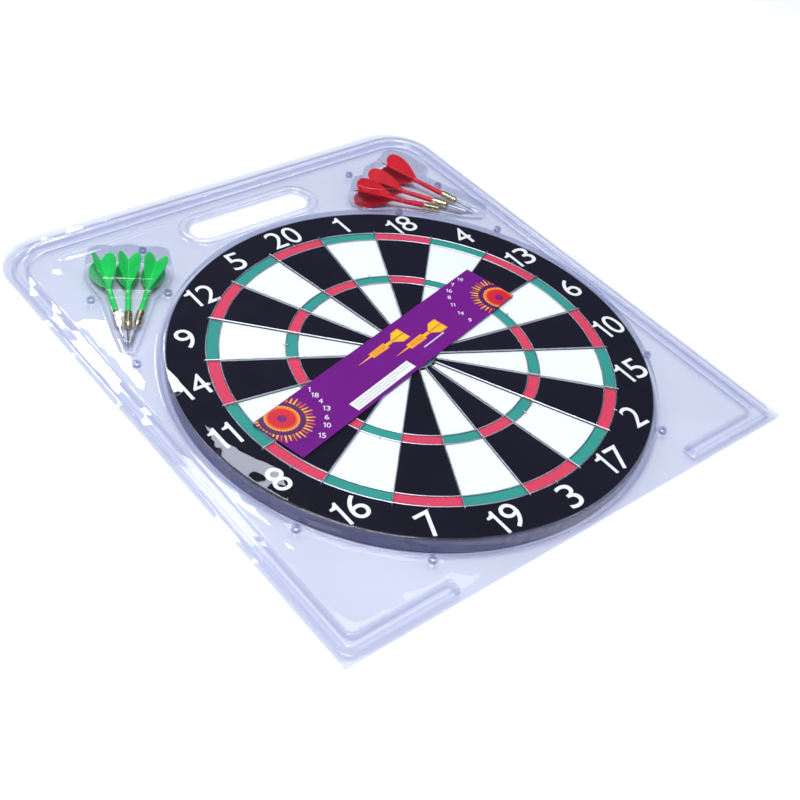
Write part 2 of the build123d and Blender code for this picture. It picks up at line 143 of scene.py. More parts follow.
def lin(*srgb):
    """sRGB 0..255 to linear."""
    out = []
    for s in srgb:
        s = s / 255.0
        out.append(s / 12.92 if s <= 0.04045 else ((s + 0.055) / 1.055) ** 2.4)
    return tuple(out)


def surface(name, base, rough=0.5, metal=0.0, vary=0.06, scale=40.0, rough_vary=0.06,
            bump=0.0, bump_scale=600.0, bump_dist=0.0002, spec=0.5, coat=0.0,
            coat_rough=0.1, sub=0.0, detail=4.0, trans=0.0, ior=1.5, anis=0.0):
    """A Principled finish whose colour and roughness wander a little."""
    n = Nodes(name)
    b = n.add("ShaderNodeBsdfPrincipled")
    co = n.coords()
    a = n.noise(scale, detail, 0.55, co)
    col = n.ramp(a.outputs["Fac"], [(0.3, shade(base, 1 - vary)), (0.5, base), (0.72, shade(base, 1 + vary))])
    n.wire(col, b.inputs["Base Color"])
    r = n.noise(scale * 2.3, 3.0, 0.5, co)
    n.wire(n.map_range(r.outputs["Fac"], 0.3, 0.7, max(0.02, rough - rough_vary), rough + rough_vary),
           b.inputs["Roughness"])
    b.inputs["Metallic"].default_value = metal
    b.inputs["IOR"].default_value = ior
    b.inputs["Specular IOR Level"].default_value = spec
    b.inputs["Coat Weight"].default_value = coat
    b.inputs["Coat Roughness"].default_value = coat_rough
    b.inputs["Transmission Weight"].default_value = trans
    b.inputs["Anisotropic"].default_value = anis
    if sub:
        b.inputs["Subsurface Weight"].default_value = sub
        b.inputs["Subsurface Radius"].default_value = (0.002, 0.002, 0.002)
    if bump:
        h = n.noise(bump_scale, 3.0, 0.6, co)
        n.wire(n.bump(h.outputs["Fac"], bump, bump_dist), b.inputs["Normal"])
    n.wire(b.outputs["BSDF"], n.out.inputs["Surface"])
    return n.m


# =====================================================================
# materials
# =====================================================================


def clear_material(name, tint, rough, haze):
    n = Nodes(name)
    co = n.coords()
    slow = n.noise(9.0, 2.0, 0.5, co)
    col = n.ramp(slow.outputs["Fac"], [(0.25, shade(tint, 0.992)), (0.75, shade(tint, 1.004))])
    tr = n.add("ShaderNodeBsdfTransparent")
    # painted shade: the clear tint turns darker where the sheet bends, darkest in a ring round each stud, for the dark
    # lines that refraction and reflection draw there
    at = n.add("ShaderNodeAttribute")
    at.attribute_name = "bend_shade"
    painted_bend_tint = n.ramp(at.outputs["Fac"], [(0.0, (1.0, 1.0, 1.0)), (0.06, (0.985, 0.985, 0.99)),
                                       (0.45, (0.90, 0.90, 0.95)), (0.75, (0.86, 0.86, 0.93)),
                                       (1.0, (0.42, 0.42, 0.50))])
    blend = n.add("ShaderNodeMix")
    blend.data_type = "RGBA"
    blend.blend_type = "MULTIPLY"
    blend.inputs["Factor"].default_value = 1.0
    for sock in blend.inputs:
        if sock.type == "RGBA" and sock.name == "A":
            n.wire(col, sock)
        if sock.type == "RGBA" and sock.name == "B":
            n.wire(painted_bend_tint, sock)
    mixed = [q for q in blend.outputs if q.type == "RGBA"][0]
    n.wire(mixed, tr.inputs["Color"])
    fine = n.noise(48.0, 2.0, 0.5, co)
    nor = n.bump(fine.outputs["Fac"], 0.15, 0.0005)
    gl = n.add("ShaderNodeBsdfGlossy")
    gl.inputs["Roughness"].default_value = rough
    gl.inputs["Color"].default_value = (0.96, 0.97, 1.0, 1.0)
    n.wire(nor, gl.inputs["Normal"])
    fr = n.add("ShaderNodeFresnel")
    fr.inputs["IOR"].default_value = 1.62
    n.wire(nor, fr.inputs["Normal"])
    geo = n.add("ShaderNodeNewGeometry")
    outer = n.add("ShaderNodeMath")
    outer.operation = "SUBTRACT"
    outer.inputs[0].default_value = 1.0
    n.wire(geo.outputs["Backfacing"], outer.inputs[1])
    gloss = n.add("ShaderNodeMath")
    gloss.operation = "MULTIPLY"
    n.wire(fr.outputs["Fac"], gloss.inputs[0])
    n.wire(outer.outputs["Value"], gloss.inputs[1])
    mix = n.add("ShaderNodeMixShader")
    n.wire(gloss.outputs["Value"], mix.inputs["Fac"])
    n.wire(tr.outputs["BSDF"], mix.inputs[1])
    n.wire(gl.outputs["BSDF"], mix.inputs[2])
    df = n.add("ShaderNodeBsdfDiffuse")
    dust = n.noise(160.0, 4.0, 0.6, co)
    n.wire(n.ramp(dust.outputs["Fac"], [(0.3, (0.62, 0.66, 0.80)), (0.7, (0.74, 0.77, 0.90))]),
           df.inputs["Color"])
    mix2 = n.add("ShaderNodeMixShader")
    n.wire(n.map_range(slow.outputs["Fac"], 0.3, 0.7, haze * 0.7, haze * 1.3), mix2.inputs["Fac"])
    n.wire(mix.outputs["Shader"], mix2.inputs[1])
    n.wire(df.outputs["BSDF"], mix2.inputs[2])
    n.wire(mix2.outputs["Shader"], n.out.inputs["Surface"])
    return n.m


M_CLEAR = clear_material("clear_front", (0.966, 0.976, 0.984), 0.02, 0.0012)
M_CLEAR_BACK = clear_material("clear_back", (0.912, 0.920, 0.958), 0.03, 0.002)

M_BLACK = surface("face_black", lin(15, 13, 28), 0.6, vary=0.22, scale=26, bump=0.25,
                  bump_scale=900, bump_dist=0.00008, spec=0.08)
M_WHITE = surface("print_white", (0.87, 0.90, 0.89), 0.6, vary=0.015, scale=18, bump=0.2,
                  bump_scale=700, bump_dist=0.00006)
M_GREEN = surface("print_green", lin(36, 146, 134), 0.6, vary=0.06, scale=30, bump=0.2,
                  bump_scale=700, bump_dist=0.00006)
M_RED = surface("print_red", lin(216, 56, 88), 0.6, vary=0.06, scale=30, bump=0.2,
                bump_scale=700, bump_dist=0.00006)
M_INK = surface("print_numbers", (0.88, 0.90, 0.90), 0.40, vary=0.02, scale=60, bump=0.1,
                bump_scale=900, bump_dist=0.00004)
M_BAND = surface("edge_band", lin(104, 107, 132), 0.3, vary=0.18, scale=22, bump=0.35,
                 bump_scale=260, bump_dist=0.00015)
M_CORE = surface("board_body", lin(172, 150, 120), 0.75, vary=0.12, scale=120, bump=0.5,
                 bump_scale=900, bump_dist=0.0002)
M_BACKPAPER = surface("back_paper", lin(52, 50, 58), 0.7, vary=0.1, scale=60, bump=0.4,
                      bump_scale=500, bump_dist=0.0001)
M_WIRE = surface("wire", lin(205, 208, 218), 0.32, metal=1.0, vary=0.12, scale=160)
M_STAPLE = surface("staple", lin(205, 206, 212), 0.32, metal=1.0, vary=0.1, scale=200)
M_HANGER = surface("hanger", lin(150, 150, 154), 0.35, metal=1.0, vary=0.08, scale=120,
                   bump=0.2, bump_scale=500, bump_dist=0.0001)
M_STEEL = surface("dart_steel", lin(176, 178, 186), 0.16, metal=1.0, vary=0.08, scale=300)
M_BRASS = surface("dart_brass", lin(204, 188, 156), 0.26, metal=1.0, vary=0.18, scale=220,
                  bump=0.1, bump_scale=900, bump_dist=0.00005)
M_GPLASTIC = surface("green_plastic", lin(30, 202, 92), 0.36, vary=0.14, scale=55, spec=0.35, sub=0.12)
M_RPLASTIC = surface("red_plastic", lin(212, 16, 36), 0.36, vary=0.16, scale=55, spec=0.35, sub=0.1)
M_CARD = surface("card", lin(112, 14, 128), 0.5, vary=0.07, scale=24, spec=0.15)

# the card's printing inks
M_YELLOW = surface("card_yellow", lin(250, 190, 40), 0.36, vary=0.05, scale=90)
M_ORANGE = surface("card_orange", lin(226, 100, 34), 0.36, vary=0.06, scale=90)
M_CARDRED = surface("card_red", lin(212, 30, 48), 0.36, vary=0.06, scale=90)
M_PURPLE = surface("card_purple", lin(84, 20, 96), 0.36, vary=0.06, scale=90)
M_DARKRED = surface("card_darkred", lin(130, 22, 70), 0.36, vary=0.06, scale=90)
M_CARDWHITE = surface("card_white", (0.88, 0.89, 0.90), 0.4, vary=0.02, scale=90)
M_VIOLET = surface("card_violet", lin(128, 24, 110), 0.36, vary=0.06, scale=90)
M_CARDGREY = surface("card_grey", lin(150, 152, 168), 0.4, vary=0.04, scale=90)


def paint(node, mat):
    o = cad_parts[node]
    o.data.materials.clear()
    o.data.materials.append(mat)


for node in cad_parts:
    if node.endswith("_point"):
        paint(node, M_STEEL)
    elif node.endswith("_barrel"):
        paint(node, M_BRASS)
    elif node.endswith("_flight"):
        paint(node, M_GPLASTIC if node.startswith("green") else M_RPLASTIC)
    elif node.endswith("_wire") or node == "radial_wires":
        paint(node, M_WIRE)
for node, m in {"board_core": M_CORE, "edge_band": M_BAND, "back_sheet": M_BACKPAPER,
                "face_sheet": M_BLACK, "white_segments": M_WHITE, "green_segments": M_GREEN,
                "red_segments": M_RED, "wire_staples": M_STAPLE, "hanger_plate": M_HANGER,
                "hanger_nails": M_STAPLE, "label_card": M_CARD}.items():
    paint(node, m)
COVER_NODES = [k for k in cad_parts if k.startswith("front_")]
TRAY_NODES = [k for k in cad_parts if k.startswith("back_") and k != "back_sheet"]
for node in COVER_NODES:
    paint(node, M_CLEAR)
for node in TRAY_NODES:
    paint(node, M_CLEAR_BACK)

# =====================================================================
# the two clear shells, as fine formed sheets
# =====================================================================
W2, H2, CORNER = 219.0, 241.0, 44.0
BEAD = dict(ox=213.8, ix=201.2, ot=230.5, it=218.5, ob=-236.0, ib=-222.6, ro=38.0, ri=26.0, gap=118.0)
DARTS = [
    ("green_1", -180.4, 124.8, 4.5, 71.3, 4.35, 54.0),
    ("green_2", -179.2, 124.0, 2.1, 59.5, 5.80, 51.0),
    ("green_3", -178.0, 123.2, 4.5, 47.5, 4.35, 53.0),
    ("red_1", 188.9, 131.5, 4.6, 111.0, 4.30, 36.0),
    ("red_2", 186.5, 136.0, 2.1, 130.5, 5.80, 38.0),
    ("red_3", 177.5, 137.4, 2.3, 139.1, 5.70, 35.0),
]
STUDS = [(-108.5, 222.0), (-176.6, 184.7), (-119.9, 163.6), (-184.7, 102.0),
         (-179.0, -93.2), (-117.5, -163.6), (116.6, 234.0), (181.4, 181.4),
         (119.9, 164.4), (183.9, 101.3), (175.0, -92.3), (117.5, -161.2)]


def rounded(points, radii, step=1.6):
    """A closed outline with its corners rounded, as dense points."""
    pts = [np.array(p, float) for p in points]
    n = len(pts)
    rs = radii if isinstance(radii, (list, tuple)) else [radii] * n
    out = []
    for i in range(n):
        p0, p1, p2 = pts[i - 1], pts[i], pts[(i + 1) % n]
        a, b = p0 - p1, p2 - p1
        la, lb = np.linalg.norm(a), np.linalg.norm(b)
        a, b = a / la, b / lb
        cosv = float(np.clip(a @ b, -1, 1))
        half = math.acos(cosv) / 2
        r = rs[i]
        if r <= 0 or half > math.pi / 2 - 0.01:
            out.append(p1)
            continue
        cut = min(r / math.tan(half), la * 0.48, lb * 0.48)
        r = cut * math.tan(half)
        c = p1 + (a + b) / np.linalg.norm(a + b) * (r / math.sin(half))
        s, e = p1 + a * cut, p1 + b * cut
        a0, a1 = math.atan2(*(s - c)[::-1]), math.atan2(*(e - c)[::-1])
        d = (a1 - a0 + math.pi) % (2 * math.pi) - math.pi
        k = max(3, int(abs(d) * r / step) + 2)
        for j in range(k + 1):
            t = a0 + d * j / k
            out.append(c + r * np.array([math.cos(t), math.sin(t)]))
    return np.array(out)


def resample(loop, step):
    """Closed outline with points every step or so, keeping its own corners."""
    out = []
    n = len(loop)
    for i in range(n):
        a, b = loop[i], loop[(i + 1) % n]
        length = float(np.linalg.norm(b - a))
        k = max(1, int(round(length / step)))
        for j in range(k):
            out.append(a + (b - a) * j / k)
    return np.array(out)


def area(loop):
    x, y = loop[:, 0], loop[:, 1]
    return 0.5 * float(np.sum(x * np.roll(y, -1) - y * np.roll(x, -1)))


def sdf(p, loop):
    """Signed distance to a closed outline, positive inside."""
    p = np.asarray(p, float)
    best = np.full(len(p), 1e9)
    inside = np.zeros(len(p), bool)
    a = loop
    b = np.roll(loop, -1, 0)
    for s in range(0, len(p), 20000):
        q = p[s:s + 20000]
        d2 = np.full(len(q), 1e18)
        ins = np.zeros(len(q), bool)
        for k in range(len(a)):
            ab = b[k] - a[k]
            l2 = float(ab @ ab)
            if l2 < 1e-12:
                continue
            t = np.clip(((q - a[k]) @ ab) / l2, 0, 1)
            d = q - (a[k] + t[:, None] * ab)
            d2 = np.minimum(d2, d[:, 0] ** 2 + d[:, 1] ** 2)
            cond = (a[k, 1] > q[:, 1]) != (b[k, 1] > q[:, 1])
            if cond.any():
                xi = a[k, 0] + (q[:, 1] - a[k, 1]) / (b[k, 1] - a[k, 1] + 1e-300) * ab[0]
                ins ^= cond & (q[:, 0] < xi)
        best[s:s + 20000] = np.sqrt(d2)
        inside[s:s + 20000] = ins
    return np.where(inside, best, -best)


def along(dart, t, left):
    _, x, y, _, turn, _, _ = dart
    a = math.radians(turn)
    return (x + t * math.cos(a) - left * math.sin(a), y + BY + t * math.sin(a) + left * math.cos(a))


def pocket(first, last, middle, g, start=None):
    if start is None:
        pts = [along(last, -5.0 - g, -4.5 - g * 0.6)]
        if first[4] - last[4] > 26.0:
            pts += [along(last, -5.5 - g, 3.5)]
        pts += [along(first, -5.0 - g, 4.5 + g * 0.6), along(first, 20, 6.0 + g), along(first, 62, 6.4 + g)]
    else:
        pts = [along(last, start - g, -6.8 - g), along(first, start - g, 6.8 + g)]
    def notch(a, b, t):
        p, q = along(a, t, -10.6), along(b, t, 10.6)
        return ((p[0] + q[0]) / 2, (p[1] + q[1]) / 2)
    pts += [along(first, 80, 12.6 + g), along(first, 93, 14.0 + g),
            along(first, 104.5 + g, 9.5 + g * 0.8), along(first, 107.0 + g, 0.0),
            along(first, 105.2 + g, -7.0), notch(first, middle, 102.6 + g),
            along(middle, 105.2 + g, 7.0), along(middle, 107.0 + g, 0.0), along(middle, 105.2 + g, -7.0),
            notch(middle, last, 102.6 + g), along(last, 105.2 + g, 7.0),
            along(last, 107.0 + g, 0.0), along(last, 104.5 + g, -9.5 - g * 0.8),
            along(last, 93, -14.0 - g), along(last, 80, -12.6 - g)]
    if start is None:
        pts += [along(last, 62, -6.4 - g), along(last, 20, -6.0 - g)]
    return pts


SETS = [(DARTS[2], DARTS[0], DARTS[1]), (DARTS[5], DARTS[3], DARTS[4])]


def pocket_loop(which, g, start=None):
    first, last, middle = which
    if first[4] < last[4]:
        first, last = last, first
    return rounded(pocket(first, last, middle, g, start), 3.2, 0.8)


def bead_loop():
    b = BEAD
    pts = [(-b["gap"], b["ob"]), (-b["ox"], b["ob"]), (-b["ox"], b["ot"]), (b["ox"], b["ot"]),
           (b["ox"], b["ob"]), (b["gap"], b["ob"]), (b["gap"], b["ib"]), (b["ix"], b["ib"]),
           (b["ix"], b["it"]), (-b["ix"], b["it"]), (-b["ix"], b["ib"]), (-b["gap"], b["ib"])]
    rs = [3, 8, b["ro"], b["ro"], 8, 3, 3, 4, b["ri"], b["ri"], 4, 3]
    return rounded(pts, rs, 2.0)


def capsule_loop(r, x0=-47.0, x1=47.0, y=184.0, n=20):
    out = [np.array([x1 + r * math.cos(t), y + r * math.sin(t)]) for t in np.linspace(-math.pi / 2, math.pi / 2, n)]
    out += [np.array([x0 + r * math.cos(t), y + r * math.sin(t)]) for t in np.linspace(math.pi / 2, 3 * math.pi / 2, n)]
    return np.array(out)


def plate_loop():
    pts = [(-W2, -H2 + 0.55), (W2, -H2 + 0.55), (W2, H2), (-W2, H2)]
    return rounded(pts, [0, 0, CORNER, CORNER], 2.4)


LOOP_BEAD = bead_loop()
LOOP_LOW = [pocket_loop(s, 1.1) for s in SETS]
LOOP_HIGH = [pocket_loop(s, 1.1, 60.0) for s in SETS]
LOOP_BACK = [pocket_loop(s, 0.4) for s in SETS]


def corner(u, a):
    return np.where(u < -a, 0.0, np.where(u > a, u, (u + a) ** 2 / (4 * a)))


def ramp(u, w, a):
    """0 to 1 over a width w, with both ends rounded over a."""
    return (corner(u, a) - corner(u - w, a)) / w


def capsule_d(p):
    x = np.clip(p[:, 0], -47.0, 47.0)
    return np.hypot(p[:, 0] - x, p[:, 1] - 184.0)


def gauss(p, x, y, sx, sy, turn=0.0):
    c, s = math.cos(math.radians(turn)), math.sin(math.radians(turn))
    dx, dy = p[:, 0] - x, p[:, 1] - y
    u, v = dx * c + dy * s, -dx * s + dy * c
    return np.exp(-0.5 * ((u / sx) ** 2 + (v / sy) ** 2))


def panel_warp(p):
    """How far the flat sheet wanders up or down, in millimetres."""
    x, y = p[:, 0], p[:, 1]
    w = 0.34 * np.sin(x / 61.0 + 0.7) * np.cos(y / 74.0 - 0.4)
    w += 0.16 * np.sin(x / 23.0 + y / 31.0) + 0.10 * np.cos(x / 17.0 - y / 13.0 + 1.1)
    w += 0.9 * gauss(p, -196, -40, 30, 70, 8) - 0.7 * gauss(p, -205, 60, 18, 60)
    m = gauss(p, -186, -30, 30, 62, -12) + 0.7 * gauss(p, -150, -170, 40, 34)
    w += 0.30 * m * np.sin(x / 5.6 + y / 10.5) * np.sin(y / 8.2 - x / 13.0 + 0.6)
    w += 0.22 * m * np.sin(x / 9.1 - y / 7.3 + 1.9)
    w += 0.7 * gauss(p, -60, -218, 60, 12) + 0.5 * gauss(p, 150, -190, 40, 26, 40)
    return w


def rumple(p):
    """Upward crinkles shared by both sheets, strongest at the left side and the top corners."""
    x, y = p[:, 0], p[:, 1]
    left = gauss(p, -208, 30, 16, 90) + gauss(p, -196, 205, 26, 26)
    top = gauss(p, -60, 236, 120, 9) * 0.7 + gauss(p, 196, 208, 22, 22) * 0.6
    a = 0.5 + 0.5 * np.sin(x / 4.7 + y / 13.0 + 1.3 * np.sin(y / 19.0))
    b = 0.5 + 0.5 * np.sin(y / 6.1 - x / 9.5 + 1.1 * np.sin(x / 15.0))
    return 0.55 * left * a * b + 0.5 * top * a


def dome_warp(p):
    x, y = p[:, 0], p[:, 1] - BY
    w = 0.30 + 0.26 * np.sin(x / 47.0 - 0.5) * np.sin(y / 39.0 + 0.9)
    w += 0.13 * np.sin(x / 21.0 + y / 17.0 + 0.3)
    q = np.stack([x, y], 1)
    m = gauss(q, -142, -100, 26, 40, 35)
    w += 0.16 * m * np.sin(x / 5.2 + y / 9.0) * np.sin(y / 6.3 - x / 8.0 + 0.4)
    w += 0.12 * m * np.sin(x / 3.9 - y / 5.1 + 1.0)
    w += 0.3 * gauss(q, -168, -40, 9, 26, 10)
    w += 0.5 * gauss(np.stack([x, y], 1), 40, -172, 46, 9, 12)
    return np.maximum(w, -0.05)


def front_z(p, fields):
    """Height of the front sheet's outer face."""
    r = np.hypot(p[:, 0], p[:, 1] - BY)
    dome = ramp(195.9 - r, 3.0, 0.9)
    bead = ramp(fields["bead"], 2.6, 0.8)
    d = capsule_d(p)
    rim = np.minimum(ramp(21.9 - d, 1.5, 0.5), ramp(d - 14.1, 1.5, 0.5))
    low = np.maximum.reduce([ramp(f, 1.5, 0.7) for f in fields["low"]])
    high = np.maximum.reduce([ramp(f, 1.9, 0.9) for f in fields["high"]])
    caps = np.zeros(len(p))
    for x, y in STUDS:
        caps = np.maximum(caps, ramp(3.75 - np.hypot(p[:, 0] - x, p[:, 1] - y - BY), 0.55, 0.3))
    rx = np.minimum(p[:, 0] + 172.0, -74.0 - p[:, 0])
    ry = 1.6 - np.abs(p[:, 1] - 204.5)
    rib = np.minimum(ramp(rx + 0.3, 1.2, 0.4), ramp(ry + 0.3, 1.0, 0.35))
    up = np.maximum.reduce([11.1 * dome, 5.0 * bead, 2.6 * rim, 9.3 * low, 19.3 * high, 3.5 * caps, 1.5 * rib])
    flat = 1.0 - np.clip(np.maximum.reduce([dome, bead, low, high, rim, caps]), 0, 1)
    edge = np.clip(-fields["bead"] / 6.0, 0, 1)
    z = 5.3 + up + panel_warp(p) * flat * edge * fields["calm"] + dome_warp(p) * dome * np.clip((192.0 - r) / 10.0, 0, 1)
    return z + rumple(p) * fields["free"]


def back_z(p, fields):
    """Height of the back sheet's upper face."""
    r = np.hypot(p[:, 0], p[:, 1] - BY)
    recess = ramp(195.2 - r, 1.7, 0.5)
    bead = ramp(fields["bead"], 2.4, 0.7)
    wells = np.maximum.reduce([ramp(f, 1.1, 0.4) for f in fields["back"]])
    studs = np.zeros(len(p))
    for x, y in STUDS:
        studs = np.maximum(studs, ramp(2.7 - np.hypot(p[:, 0] - x, p[:, 1] - y - BY), 0.4, 0.2))
    down = np.maximum.reduce([recess, bead, wells])
    flat = 1.0 - np.clip(np.maximum(down, studs), 0, 1)
    edge = np.clip(-fields["bead"] / 6.0, 0, 1)
    return 4.6 - 4.0 * down + 2.9 * studs + panel_warp(p) * flat * edge * fields["calm"] + rumple(p) * fields["free"]


def sweep_points(loop, levels, step, keep=0.12):
    """Points beside an outline at each signed distance, inside positive."""
    base = resample(loop, step)
    if area(base) < 0:
        base = base[::-1]
    t = np.roll(base, -1, 0) - np.roll(base, 1, 0)
    t /= np.linalg.norm(t, axis=1)[:, None] + 1e-12
    inward = np.stack([-t[:, 1], t[:, 0]], 1)
    out = []
    for d in levels:
        q = base + inward * d
        s = sdf(q, loop)
        out.append(q[np.abs(s - d) < keep])
    return np.concatenate(out)


def circle_points(x, y, radii, step):
    out = []
    for r in radii:
        if r <= 1e-6:
            out.append(np.array([[x, y]]))
            continue
        k = max(10, int(2 * math.pi * max(radii) / step))
        t = np.arange(k) * 2 * math.pi / k
        out.append(np.stack([x + r * np.cos(t), y + r * np.sin(t)], 1))
    return np.concatenate(out)


def levels(w, a):
    v = [-a - 1.2, -a, -0.45 * a, 0.1 * a, 0.6 * a]
    m = [w * 0.5] if w > 1.6 * a else []
    v += m + [w - 0.6 * a, w - 0.1 * a, w + 0.45 * a, w + a, w + a + 1.2]
    return sorted(set(round(x, 3) for x in v))


def unique(points, cell):
    key = np.round(points / cell).astype(np.int64)
    _, idx = np.unique(key[:, 0] * 1000003 + key[:, 1], return_index=True)
    return points[np.sort(idx)]


def crowded(points, cloud, gap):
    """Which points have a neighbour in cloud within about gap."""
    cells = set()
    for k in np.unique(np.floor(cloud / gap).astype(np.int64), axis=0):
        cells.add((int(k[0]), int(k[1])))
    q = np.floor(points / gap).astype(np.int64)
    hit = np.zeros(len(points), bool)
    for i, (a, b) in enumerate(q):
        if (int(a), int(b)) in cells or (int(a) + 1, int(b)) in cells or (int(a) - 1, int(b)) in cells \
                or (int(a), int(b) + 1) in cells or (int(a), int(b) - 1) in cells:
            hit[i] = True
    return hit


def sheet_piece(name, front, mat, thick):
    outline = resample(plate_loop(), 2.8)
    hole = capsule_loop(12.0, n=22)
    hole = resample(hole, 2.4)
    fine = [sweep_points(LOOP_BEAD, levels(2.6, 0.8), 2.4)]
    if front:
        fine.append(circle_points(0, BY, [195.9 - v for v in levels(3.0, 0.9)], 2.6))
        for s in (LOOP_LOW, LOOP_HIGH):
            for lp in s:
                fine.append(sweep_points(lp, levels(1.5 if s is LOOP_LOW else 1.9, 0.8), 0.9, 0.1))
        for x, y in STUDS:
            fine.append(circle_points(x, y + BY, [5.2, 4.05, 3.75, 3.45, 3.2, 2.9, 1.6, 0.0], 0.9))
        for lv in (23.2, 22.4, 21.9, 21.3, 20.9, 20.4, 19.9, 18.0, 16.1, 15.6, 15.1, 14.7, 14.1, 13.6):
            fine.append(resample(capsule_loop(lv, n=26), 2.2))
        for yy in np.array([-2.6, -1.9, -1.5, -1.1, -0.6, 0.0, 0.6, 1.1, 1.5, 1.9, 2.6]) + 204.5:
            xs = np.concatenate([[-173.2, -172.3, -171.8, -171.2, -170.6], np.arange(-169, -77, 2.2),
                                 [-75.4, -74.8, -74.2, -73.7, -72.8]])
            fine.append(np.stack([xs, np.full(len(xs), yy)], 1))
    else:
        fine.append(circle_points(0, BY, [195.2 - v for v in levels(1.7, 0.5)], 2.6))
        for lp in LOOP_BACK:
            fine.append(sweep_points(lp, levels(1.1, 0.4), 0.9, 0.1))
        for x, y in STUDS:
            fine.append(circle_points(x, y + BY, [3.6, 2.95, 2.7, 2.5, 2.3, 2.1, 1.2, 0.0], 0.8))
        for lv in (14.0, 17.0):
            fine.append(resample(capsule_loop(lv, n=26), 2.4))
    fine = unique(np.concatenate(fine), 0.16)
    near = np.concatenate([fine, outline, hole])
    # broad fill: an even staggered grid over the whole sheet, the dome included, where the film ripples
    gx, gy = np.meshgrid(np.arange(-W2 + 3, W2 - 2, 4.6), np.arange(-H2 + 3, H2 - 2, 4.0))
    gx[::2] += 2.3
    g = np.stack([gx.ravel(), gy.ravel()], 1)
    g = g[~crowded(g, near, 2.2)]
    cloud = np.concatenate([fine, g])
    plate = plate_loop()
    ok = (sdf(cloud, plate) > 0.9) & (capsule_d(cloud) > 12.6)
    cloud = cloud[ok]
    pts = np.concatenate([outline, hole, cloud])
    no, nh = len(outline), len(hole)
    edges = [(i, (i + 1) % no) for i in range(no)] + [(no + i, no + (i + 1) % nh) for i in range(nh)]
    res = delaunay_2d_cdt([Vector(q) for q in pts], edges, [], 0, 1e-5, False)
    v = np.array([tuple(q) for q in res[0]], float)
    tri = np.array([f for f in res[2] if len(f) == 3], np.int64)
    c = v[tri].mean(1)
    tri = tri[(sdf(c, plate) > 0) & (capsule_d(c) > 11.98)]
    # consistent winding, upwards
    a, b, d = v[tri[:, 0]], v[tri[:, 1]], v[tri[:, 2]]
    flip = ((b - a)[:, 0] * (d - a)[:, 1] - (b - a)[:, 1] * (d - a)[:, 0]) < 0
    tri[flip] = tri[flip][:, ::-1]
    fields = {"bead": sdf(v, LOOP_BEAD)}
    if front:
        fields["low"] = [sdf(v, lp) for lp in LOOP_LOW]
        fields["high"] = [sdf(v, lp) for lp in LOOP_HIGH]
    else:
        fields["back"] = [sdf(v, lp) for lp in LOOP_BACK]
    # the sheet lies still near the fold, the studs, the handle and the dome's foot
    calm = np.clip((v[:, 1] + H2) / 14.0, 0, 1)
    calm *= np.clip((capsule_d(v) - 22.0) / 14.0, 0, 1)
    r = np.hypot(v[:, 0], v[:, 1] - BY)
    calm *= np.clip(np.abs(r - 195.0) / 10.0, 0, 1)
    for x, y in STUDS:
        calm *= np.clip((np.hypot(v[:, 0] - x, v[:, 1] - y - BY) - 4.0) / 12.0, 0, 1)
    for s in SETS:
        lp = LOOP_LOW[SETS.index(s)]
        calm *= np.clip((-sdf(v, lp) - 1.0) / 12.0, 0, 1)
    fields["calm"] = calm
    free = np.clip((r - 198.0) / 8.0, 0, 1) * np.clip((v[:, 1] + H2) / 10.0, 0, 1)
    for lp in LOOP_LOW:
        free *= np.clip((-sdf(v, lp) - 1.5) / 8.0, 0, 1)
    fields["free"] = free
    top = (front_z if front else back_z)(v, fields)
    upper = np.column_stack([v, top])
    lower = np.column_stack([v, top - thick])
    n = len(v)
    # side walls along every open edge
    from collections import Counter
    seen = Counter()
    direction = {}
    for t in tri:
        for i in range(3):
            e = (int(t[i]), int(t[(i + 1) % 3]))
            k = (min(e), max(e))
            seen[k] += 1
            direction[k] = e
    faces = [tuple(t) for t in tri] + [(int(t[0]) + n, int(t[2]) + n, int(t[1]) + n) for t in tri]
    for k, cnt in seen.items():
        if cnt == 1:
            p, q = direction[k]
            faces.append((q, p, p + n, q + n))
    o = link(name, np.concatenate([upper, lower]), faces, mat)
    # how steep the sheet is at each point, kept as painted shade: the clear tint is darkened there to draw the dark
    # lines that refraction and reflection make at bends, and kept weaker over the pockets
    nz = np.zeros(len(v))
    cnt_ = np.zeros(len(v))
    pa, pb, pc = upper[tri[:, 0]], upper[tri[:, 1]], upper[tri[:, 2]]
    nn = np.cross(pb - pa, pc - pa)
    steep = 1.0 - np.abs(nn[:, 2]) / (np.linalg.norm(nn, axis=1) + 1e-12)
    for k in range(3):
        np.add.at(nz, tri[:, k], steep)
        np.add.at(cnt_, tri[:, k], 1.0)
    bend_shade = np.clip(nz / np.maximum(cnt_, 1), 0, 1)
    bend_shade *= 0.72
    for k_ in range(2):
        lp = LOOP_LOW[k_] if front else LOOP_BACK[k_]
        bend_shade *= np.where(sdf(v, lp) > -2.5, 0.42, 1.0)
